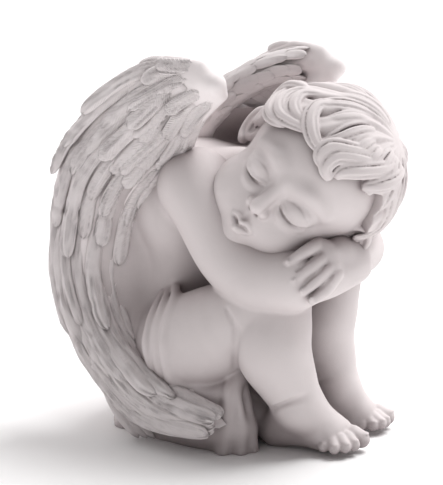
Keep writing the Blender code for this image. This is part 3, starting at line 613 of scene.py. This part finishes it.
hair = Clay(HEAD - HEAD_REACH, HEAD + HEAD_REACH, HAIR_GRAIN)
everything, (x, y, z) = hair.window(HEAD - HEAD_REACH, HEAD + HEAD_REACH)
local = [(x - HEAD[0]) * axis[0] + (y - HEAD[1]) * axis[1] + (z - HEAD[2]) * axis[2] for axis in HEAD_AXES]
front, left, up = [(local[k] - SCALP_CENTRE[k]) / SCALP[k] for k in range(3)]
front, up = front * math.cos(LEAN) + up * math.sin(LEAN), up * math.cos(LEAN) - front * math.sin(LEAN)
reach = np.sqrt(front ** 2 + left ** 2 + up ** 2)
polar = np.degrees(np.arccos(np.clip(up / np.maximum(reach, 1e-3), -1.0, 1.0)))
turn = np.degrees(np.arctan2(left, front))
side = left * math.cos(WHORL) - up * math.sin(WHORL)
top = up * math.cos(WHORL) + left * math.sin(WHORL)
down = np.degrees(np.arccos(np.clip(top / np.maximum(reach, 1e-3), -1.0, 1.0)))
round_whorl = np.degrees(np.arctan2(side, front))
bend = 10.0 * np.sin(np.radians(down * 3.4 + 30.0)) + 0.30 * down
flow = round_whorl + bend + 5.0 * np.sin(np.radians(2 * round_whorl + 2.5 * down))
flow += 3.0 * np.sin(np.radians(5 * round_whorl - 3 * down))
wave = np.abs(np.sin(np.radians(flow * WAVES / 2.0)))
ripple = 50.0 * np.sin(np.radians(down * 4.0))
strand = np.sin(np.radians(flow * WAVES * STRANDS / 2.0 + ripple))
settle_in = np.clip((down - 6.0) / 30.0, 0.0, 1.0)
cap = (reach - 1.0) * 40.0 - 0.4 - settle_in * (2.5 * wave ** 0.6 + 0.30 * strand)
edge = (polar - hairline(turn) - 4.0 * np.sin(np.radians(flow * WAVES / 2.0))) * 0.68
hair.press(everything, np.maximum(np.maximum(cap, edge), (0.72 - reach) * 40.0), 1.0)


def around_whorl(down, round_whorl):
    """The polar and the turn of a place given by degrees down from the whorl and round it."""
    front = math.sin(math.radians(down)) * math.cos(math.radians(round_whorl))
    side = math.sin(math.radians(down)) * math.sin(math.radians(round_whorl))
    top = math.cos(math.radians(down))
    left = side * math.cos(WHORL) + top * math.sin(WHORL)
    up = top * math.cos(WHORL) - side * math.sin(WHORL)
    return math.degrees(math.acos(up)), math.degrees(math.atan2(left, front))


def lock(path, width, strands, size, rise):
    """A lock of hair along places on the scalp: parallel strands that part a little and meet at its tip."""
    stations = [scalp_point(polar, turn, 0.0) for polar, turn in path]
    centre = in_head(*SCALP_CENTRE)
    shares = np.linspace(0.0, 1.0, 22)
    spine = np.array([curve_at(stations, share) for share in shares])
    outs = np.array([unit(place - centre) for place in spine])
    along = np.gradient(spine, axis=0)
    across = np.cross(along, outs)
    across /= np.linalg.norm(across, axis=1)[:, None]
    swell = np.sin(math.pi * np.clip(0.12 + 0.80 * shares, 0.0, 1.0)) ** 0.7
    for k in range(strands):
        place = 2.0 * (k + 0.5) / strands - 1.0
        sway = place + 0.25 * math.sin(3.0 * k)
        aside = across * (width * 0.5 * sway * swell)[:, None]
        raised = outs * (rise * swell * (1.0 - 0.45 * place ** 2) - 0.6)[:, None]
        hair.rope(spine + aside + raised, size * (0.35 + 0.75 * swell), blend=0.35)


# Locks at the forehead curl back on themselves. Those over the ear and at the nape hang and hook forward.
FOREHEAD_LOCKS = (((48, 30), (56, 16), (66, 3), (75, 3), (78, 11)),
                  ((50, 40), (57, 24), (67, 11), (77, 11), (81, 19)),
                  ((42, 64), (51, 48), (61, 33), (71, 22), (77, 21)),
                  ((44, 84), (53, 66), (62, 52), (69, 42)),
                  ((42, -26), (54, -34), (63, -28), (69, -17), (72, -6), (70, 3)),
                  ((58, -66), (70, -66), (79, -56), (81, -42), (76, -29), (71, -19)),
                  ((64, -78), (77, -74), (86, -60), (87, -46), (82, -34)),
                  ((50, -50), (62, -54), (70, -46), (72, -34), (68, -24)))
SIDE_LOCKS = (((56, 70), (70, 80), (84, 88), (97, 88), (105, 82)),
              ((54, 86), (72, 92), (90, 96), (106, 92), (117, 83)),
              ((58, 104), (76, 108), (94, 111), (110, 106), (121, 98)),
              ((60, -88), (74, -86), (86, -80), (94, -70)),
              ((66, -100), (82, -98), (98, -92), (109, -84)),
              ((70, -114), (88, -112), (106, -107), (119, -101)))
TUFTS = (((60, -68), (69, -78), (78, -83), (86, -77)), ((62, -84), (72, -90), (81, -88), (89, -79)))
for path in FOREHEAD_LOCKS:
    lock(path, 8.0, 4, 1.2, 5.0)
for path in SIDE_LOCKS:
    lock(path, 8.5, 4, 1.25, 4.2)
for path in TUFTS:
    lock(path, 7.0, 4, 1.3, 6.5)
nape = np.random.default_rng(4)
for turn in np.arange(122, 246, 11):
    last = float(hairline(turn)) + nape.uniform(-6, 4)
    hook = nape.choice((-1, 1)) * nape.uniform(8, 16)
    path = ((last - 56, turn - 4), (last - 38, turn + 5), (last - 20, turn - 2), (last - 4, turn + 2),
            (last + 3, turn + hook))
    lock(path, 8.5, 4, 1.25, 4.0)
shares = np.linspace(0.0, 1.0, 6)
for streak in np.arange(0, 360, 15):
    first = nape.uniform(12, 50)
    last = first + nape.uniform(30, 55)
    path = []
    for down in first + (last - first) * shares:
        swirl = streak - 10.0 * math.sin(math.radians(down * 3.4 + 30.0)) - 0.30 * down
        swirl -= 5.0 * math.sin(math.radians(2 * swirl + 2.5 * down))
        path.append(around_whorl(down, swirl))
    lock([place for place in path if place[0] < hairline(place[1]) - 4], nape.uniform(6, 9), 4, 1.05, 3.8)
cast("hair", *hair.skin(), smooth_resin, HAIR_TRIANGLES)

# The blade of each wing: one thick, curved plate of clay with the arm along its top, cast with the body.
# The feathers are laid on it, and it closes the gaps between them.
BLADE_TRIANGLES = 45000
BLADE_GRAIN = 1.0
for name, flip in SIDES.items():
    low = np.array((-78.0, -62.0, -3.0))
    high = np.array((2.0, 72.0, 207.0))
    if flip[0] < 0:
        low[0], high[0] = -high[0], -low[0]
    wing = Clay(low, high, BLADE_GRAIN)
    for lane in range(9):
        radius = WING_THICKNESS / 2.0 * (0.6 if lane in (0, 8) else 1.0)
        stops = [wing_point(k / 20.0, lane / 8.0, -radius)[0] * flip for k in range(20)]
        wing.rope(stops, radius * np.clip((23.0 - np.arange(20)) / 7.0, 0.3, 1.0), blend=3.0)
    wing.limb([np.array(p) * flip for p in WING_ARM], (12, 9.5, 8.5, 7.2, 4.6, 6.2), blend=2.5)
    cast(f"wing_{name}", *wing.skin(), plumage_resin, BLADE_TRIANGLES)

# The feathers: every one has a round tip, a raised quill and combed barbs, and overlaps the next row down.
# They are laid on from the tip of the wing up to its wrist, and cast with it.


CREASES_A_METRE = 48.0
CREASES_ACROSS = 3.2


def named(tree, name, kind="FLOAT"):
    """What every point carries under a name."""
    return add(tree, "GeometryNodeInputNamedAttribute", {"data_type": kind}, {"Name": name}).outputs[0]


def stored(tree, geometry, name, value):
    """The geometry, with a value stored on each point under a name."""
    made = add(tree, "GeometryNodeStoreNamedAttribute", {"data_type": "FLOAT", "domain": "POINT"}, {
        "Geometry": geometry, "Name": name, "Value": value})
    return made.outputs[0]


def plume_tree():
    """Geometry nodes that sweep a thin lens along each feather's line and comb barbs into its face."""
    tree = bpy.data.node_groups.new("Feather", "GeometryNodeTree")
    face = tree.interface
    face.new_socket("Geometry", in_out="INPUT", socket_type="NodeSocketGeometry")
    for name in ("Thickness", "Quill height", "Barb depth", "Barb spacing", "Barb slant", "Crease depth"):
        face.new_socket(name, in_out="INPUT", socket_type="NodeSocketFloat")
    face.new_socket("Sides", in_out="INPUT", socket_type="NodeSocketInt")
    face.new_socket("Resin", in_out="INPUT", socket_type="NodeSocketMaterial")
    face.new_socket("Geometry", in_out="OUTPUT", socket_type="NodeSocketGeometry")
    given = add(tree, "NodeGroupInput", {}, {}).outputs
    width = named(tree, "width")
    out = named(tree, "out", "FLOAT_VECTOR")
    across = named(tree, "across")
    line = add(tree, "GeometryNodeMeshToCurve", {}, {"Mesh": given["Geometry"]})
    line = add(tree, "GeometryNodeSetCurveNormal", {"mode": "FREE"}, {
        "Curve": line.outputs[0], "Normal": out})
    ring = add(tree, "GeometryNodeCurvePrimitiveCircle", {"mode": "RADIUS"}, {
        "Resolution": given["Sides"], "Radius": 1.0})
    place = add(tree, "GeometryNodeInputPosition", {}, {})
    split = add(tree, "ShaderNodeSeparateXYZ", {}, {0: place.outputs[0]}).outputs
    ring = stored(tree, ring.outputs[0], "across", split["Y"])
    ring = stored(tree, ring, "above", split["X"])
    flat = add(tree, "ShaderNodeCombineXYZ", {}, {"X": given["Thickness"], "Y": 1.0, "Z": 1.0})
    ring = add(tree, "GeometryNodeTransform", {}, {"Geometry": ring, "Scale": flat.outputs[0]})
    vane = add(tree, "GeometryNodeCurveToMesh", {}, {
        "Curve": line.outputs[0], "Profile Curve": ring.outputs[0], "Scale": width, "Fill Caps": True})
    aside = maths(tree, "ABSOLUTE", across)
    lean = maths(tree, "MULTIPLY", maths(tree, "MULTIPLY", aside, width), given["Barb slant"])
    comb = maths(tree, "SUBTRACT", named(tree, "run"), lean)
    phase = maths(tree, "MULTIPLY", maths(tree, "DIVIDE", comb, given["Barb spacing"]), math.tau)
    barb = maths(tree, "MULTIPLY", maths(tree, "SINE", phase), given["Barb depth"])
    quill = mapped(tree, aside, 0.0, 0.24, 1.0, 0.0, "SMOOTHSTEP")
    stem = maths(tree, "MULTIPLY", quill, given["Quill height"])
    spot = add(tree, "ShaderNodeCombineXYZ", {}, {
        "X": across, "Y": maths(tree, "MULTIPLY", comb, CREASES_A_METRE), "Z": named(tree, "seed")})
    spot = add(tree, "ShaderNodeVectorMath", {"operation": "MULTIPLY"}, {
        0: spot.outputs[0], 1: (CREASES_ACROSS, 1.0, 1.0)})
    crease = mapped(tree, noise(tree, spot.outputs[0], 1.0, 2.0), 0.32, 0.60, -1.0, 0.35)
    fold = maths(tree, "MULTIPLY", crease, given["Crease depth"])
    relief = maths(tree, "ADD", maths(tree, "ADD", barb, stem), fold)
    topside = maths(tree, "MULTIPLY", named(tree, "above"), 2.0, clamp=True)
    push = add(tree, "ShaderNodeVectorMath", {"operation": "SCALE"}, {
        0: out, "Scale": maths(tree, "MULTIPLY", relief, topside)})
    vane = add(tree, "GeometryNodeSetPosition", {}, {
        "Geometry": vane.outputs[0], "Offset": push.outputs[0]})
    vane = stored(tree, vane.outputs[0], "barb", maths(tree, "MULTIPLY", phase, 2.0))
    vane = add(tree, "GeometryNodeSetShadeSmooth", {}, {"Geometry": vane, "Shade Smooth": True})
    vane = add(tree, "GeometryNodeRealizeInstances", {}, {"Geometry": vane.outputs[0]})
    vane = add(tree, "GeometryNodeSetMaterial", {}, {
        "Geometry": vane.outputs[0], "Material": given["Resin"]})
    add(tree, "NodeGroupOutput", {}, {"Geometry": vane.outputs[0]})
    return tree


def grow(name, lines, tree, sizes):
    """Grows a feather along each line of places, normals and half-widths, all as one plain mesh."""
    mesh = bpy.data.meshes.new(name)
    places = []
    edges = []
    outs = []
    widths = []
    runs = []
    seeds = []
    for stops, normals, halves in lines:
        first = len(places)
        steps = np.linalg.norm(np.diff(stops, axis=0), axis=1)
        runs += [0.0] + list(np.cumsum(steps) * UNIT)
        places += [(stop - CENTRE) * UNIT for stop in stops]
        outs += list(normals)
        widths += [half * UNIT for half in halves]
        edges += [(first + k, first + k + 1) for k in range(len(stops) - 1)]
        seeds += [7.3 * len(seeds)] * len(stops)
    mesh.from_pydata([tuple(p) for p in places], edges, [])
    way_out = mesh.attributes.new("out", "FLOAT_VECTOR", "POINT")
    way_out.data.foreach_set("vector", np.ravel(outs).astype(np.float32))
    seeds = np.array(seeds, np.float32) % 997.0
    for key, values in (("width", widths), ("run", runs), ("seed", seeds)):
        kept = mesh.attributes.new(key, "FLOAT", "POINT")
        kept.data.foreach_set("value", np.array(values, np.float32))
    piece = placed(name, mesh)
    growth = piece.modifiers.new("growth", "NODES")
    growth.node_group = tree
    for socket in tree.interface.items_tree:
        if socket.name in sizes:
            growth[socket.identifier] = sizes[socket.name]
    own(piece, sizes["Resin"])


feather_tree = plume_tree()
LANE_WIDTH = 8.4
LONG_STOPS = 40
SHORT_STOPS = 26
ARM_STOPS = 16
ROWS = ((0.00, 0.12), (0.04, 0.16), (0.09, 0.19), (0.15, 0.21), (0.22, 0.24), (0.30, 0.27), (0.39, 0.30),
        (0.48, 0.33), (0.58, 0.36), (0.68, 0.30), (0.77, 0.23), (0.85, 0.16))
BACK_ROWS = ((0.62, 0.36), (0.48, 0.30), (0.34, 0.30), (0.20, 0.28), (0.08, 0.24), (0.02, 0.16))
COMB = {"Barb spacing": 0.0022, "Barb slant": 1.3, "Resin": plumage_resin}


def feather_line(along, across, length, half, lift, drift, flip, face=1.0, count=LONG_STOPS, notch=2.0):
    """The line of one feather: its base sunk in the wing, its round tip raised, its width at every stop."""
    stops = []
    normals = []
    halves = []
    length = min(length, (0.995 if flip[0] > 0.0 else 0.93) - along)
    bury = 2.5 if along > 0.06 else 0.0
    for share in np.linspace(0.0, 1.0, count):
        sunk = 1.8 + bury * max(0.0, 1.0 - share / 0.14)
        rise = face * (lift * share ** 1.3 - sunk) - (WING_THICKNESS if face < 0 else 0.0)
        place, normal = wing_point(along + length * share, across + drift * share, rise)
        place = np.clip(place, (0.6 * half - 69.6, -100.0, 0.0), (0.0, 64.4 - half, 202.0 - half))
        stops.append(place * flip)
        normals.append(normal * flip * face)
        body_width = min(1.0, 0.4 + 1.8 * share) * (1.0 - 0.24 * math.exp(-((share - notch) / 0.025) ** 2))
        tip = math.sqrt(max(1.0 - max(share - 0.86, 0.0) ** 2 / 0.14 ** 2, 0.0))
        halves.append(half * body_width * max(tip, 0.05))
    return np.array(stops), np.array(normals), halves


def across_wing(along):
    """How broad the wing is at a place between its wrist and its tip."""
    return float(np.linalg.norm(curve_at(OUTER, along) - curve_at(INNER, along)))


def on_arm(place, turn, radius, flip):
    """A place on the arm of a wing and the way out of it: 0 at the shoulder, 1 at the wrist."""
    centre = curve_at(WING_ARM, place)
    run = unit(curve_at(WING_ARM, place + 0.02) - curve_at(WING_ARM, place - 0.02))
    side = unit(np.cross(run, (0.0, 0.0, 1.0)))
    out = math.cos(turn) * side + math.sin(turn) * np.cross(side, run)
    return (centre + out * radius) * flip, out * flip


for name, flip in SIDES.items():
    plumage = np.random.default_rng(5)
    lines = []
    for row in range(len(ROWS) - 1, -1, -1):
        along, length = ROWS[row]
        breadth = across_wing(along + length * 0.6)
        lanes = max(3, round(breadth / LANE_WIDTH))
        for lane in range(lanes):
            across = (lane + (0.3 if row % 2 else 0.7) + plumage.uniform(-0.12, 0.12)) / lanes
            half = breadth / lanes * plumage.uniform(0.42, 0.56)
            drift = 0.05 * (across - 0.45) + plumage.uniform(-0.04, 0.04)
            lines.append(feather_line(
                max(along + plumage.uniform(-0.02, 0.02), 0.0), across,
                length * plumage.uniform(0.8, 1.25), half,
                2.0 + 2.4 * (lane % 2) + plumage.uniform(0.0, 2.0), drift, flip,
                notch=plumage.uniform(0.4, 1.6)))
    grow(f"feathers_{name}", lines, feather_tree, {
        **COMB, "Thickness": 0.58, "Quill height": 0.0005, "Barb depth": 0.00022,
        "Crease depth": 0.0012, "Sides": 24})
    lines = []
    for along in np.arange(0.02, 0.80, 0.035):
        lines.append(feather_line(
            along, plumage.uniform(0.94, 1.0), plumage.uniform(0.10, 0.20), plumage.uniform(2.0, 2.9),
            plumage.uniform(-1.0, 1.6), plumage.uniform(0.01, 0.08), flip, count=SHORT_STOPS))
    for along in np.arange(0.30, 0.86, 0.07):
        lines.append(feather_line(
            along, plumage.uniform(0.0, 0.06), plumage.uniform(0.10, 0.16), plumage.uniform(2.4, 3.4),
            1.5, plumage.uniform(-0.06, -0.01), flip, count=SHORT_STOPS))
    for aside in (0.0, 0.5, 1.0):
        root, normal = wing_point(0.76, 0.90 - 0.12 * aside, -1.0)
        foot = np.array((-53.0 - 5.0 * aside, -1.0 + 7.0 * aside, 0.6))
        steps = np.linspace(0.0, 1.0, SHORT_STOPS)[:, None]
        arch = np.sin(math.pi * steps) * (-2.0, 2.0, -2.0)
        halves = 3.4 * np.sqrt(np.maximum(1.0 - steps[:, 0] ** 5, 0.02))
        stops = (root + (foot - root) * steps + arch) * flip
        lines.append((stops, np.tile(normal * flip, (SHORT_STOPS, 1)), halves))
    grow(f"edge_feathers_{name}", lines, feather_tree, {
        **COMB, "Thickness": 0.75, "Quill height": 0.0002, "Barb depth": 0.0001,
        "Crease depth": 0.0005, "Sides": 14})
    lines = []
    for lane in range(6):
        for along, length in BACK_ROWS:
            lines.append(feather_line(
                along + plumage.uniform(-0.02, 0.02), (lane + 0.5) / 6.0, length,
                across_wing(along + 0.5 * length) / 6.0 * 0.62, 2.6, plumage.uniform(-0.02, 0.02), flip,
                face=-1.0, count=SHORT_STOPS))
    grow(f"back_feathers_{name}", lines, feather_tree, {
        **COMB, "Thickness": 0.30, "Quill height": 0.0005, "Barb depth": 0.00016,
        "Crease depth": 0.0005, "Sides": 16})
    lines = []
    for place in np.arange(0.70, 0.16, -0.075):
        for turn in np.arange(0.0, 6.2, 0.78):
            turn += plumage.uniform(-0.2, 0.2)
            first = place + plumage.uniform(-0.03, 0.03)
            shares = np.linspace(0.0, 1.0, ARM_STOPS)
            stops = [on_arm(first + 0.15 * share, turn + 0.25 * share, 7.2 + 1.2 * share, flip)
                     for share in shares]
            halves = 3.4 * np.minimum(1.0, 0.6 + shares) * np.sqrt(np.maximum(1.0 - shares ** 6, 0.01))
            places, normals = zip(*stops)
            lines.append((np.array(places), np.array(normals), halves))
    for share in np.linspace(0.0, 1.0, 14):
        shoulder = curve_at(WING_ARM[:5], 0.85 * (1.0 - share))
        edge, normal = wing_point(0.12 + 0.26 * share, 0.38, -1.0)
        for face in (1.0, -1.0):
            steps = np.linspace(0.0, 1.0, ARM_STOPS)[:, None]
            stops = (shoulder + (edge - shoulder) * steps + normal * (face * 3.6 - 0.8)) * flip
            halves = 2.9 * np.sqrt(np.maximum(1.0 - (2.0 * steps[:, 0] - 1.0) ** 8, 0.02))
            lines.append((stops, np.tile(normal * flip * face, (ARM_STOPS, 1)), halves))
    grow(f"arm_feathers_{name}", lines, feather_tree, {
        **COMB, "Thickness": 0.35, "Quill height": 0.0003, "Barb depth": 0.0001, "Barb spacing": 0.0018,
        "Barb slant": 1.0, "Crease depth": 0.0005, "Sides": 14})

# The ground is a wide sweep of white paper, and the light is a large soft box over the right shoulder.
PAPER = "#FFFFFF"
paper = bpy.data.materials.new("white_paper_sweep")
paper.use_nodes = True
paper.node_tree.nodes["Principled BSDF"].inputs["Base Color"].default_value = linear(PAPER)
paper.node_tree.nodes["Principled BSDF"].inputs["Roughness"].default_value = 0.9
FLOOR_HALF = 6.0
floor_mesh = bpy.data.meshes.new("floor")
corners = [(a * FLOOR_HALF, b * FLOOR_HALF, 0) for a, b in ((-1, -1), (1, -1), (1, 1), (-1, 1))]
floor_mesh.from_pydata(corners, [], [(0, 1, 2, 3)])
floor_mesh.materials.append(paper)
placed("floor", floor_mesh)

world = bpy.data.worlds.new("studio")
world.use_nodes = True
studio = world.node_tree
backdrop = studio.nodes["Background"]
way = add(studio, "ShaderNodeTexCoord", {}, {}).outputs["Generated"]
facing = add(studio, "ShaderNodeVectorMath", {"operation": "DOT_PRODUCT"}, {0: way, 1: (0.75, 0.63, 0.18)})
glow = mapped(studio, facing.outputs["Value"], -0.3, 0.75, 0.27, 1.18, "SMOOTHSTEP")
backdrop.inputs["Color"].default_value = linear("#FFFCFC")
studio.links.new(glow, backdrop.inputs["Strength"])
bpy.context.scene.world = world

TARGET = (np.array((-2.0, -4.0, 98.0)) - CENTRE) * UNIT
AZIMUTH = math.radians(-50.0)
ELEVATION = math.radians(11.6)
BACK = np.array((math.sin(AZIMUTH) * math.cos(ELEVATION), -math.cos(AZIMUTH) * math.cos(ELEVATION),
                 math.sin(ELEVATION)))
RIGHT = np.array((math.cos(AZIMUTH), math.sin(AZIMUTH), 0.0))
UP = np.cross(BACK, RIGHT)

SUN_STRENGTH = 2.35
SUN_SPREAD = math.radians(35.0)
lamp = bpy.data.lights.new("key", "SUN")
lamp.energy = SUN_STRENGTH
lamp.angle = SUN_SPREAD
key = placed("key", lamp)
direction = unit(0.42 * RIGHT + 0.90 * UP - 0.05 * BACK)
key.rotation_mode = "QUATERNION"
key.rotation_quaternion = Vector(direction).to_track_quat("Z", "Y")

# The camera stands a metre away, a little above the statue, and sees it from its right front.
# The lens is long, so the wings and the knees keep their true proportions.
CAMERA_AWAY = 1.0
LENS = 138.8
SENSOR = 36.0
camera = bpy.data.cameras.new("camera")
camera.lens = LENS
camera.sensor_width = SENSOR
camera.clip_start = 0.01
viewer = placed("camera", camera)
viewer.location = TARGET + BACK * CAMERA_AWAY
viewer.rotation_mode = "QUATERNION"
viewer.rotation_quaternion = Vector(BACK).to_track_quat("Z", "Y")
bpy.context.scene.camera = viewer
bpy.context.scene.view_settings.view_transform = "Standard"
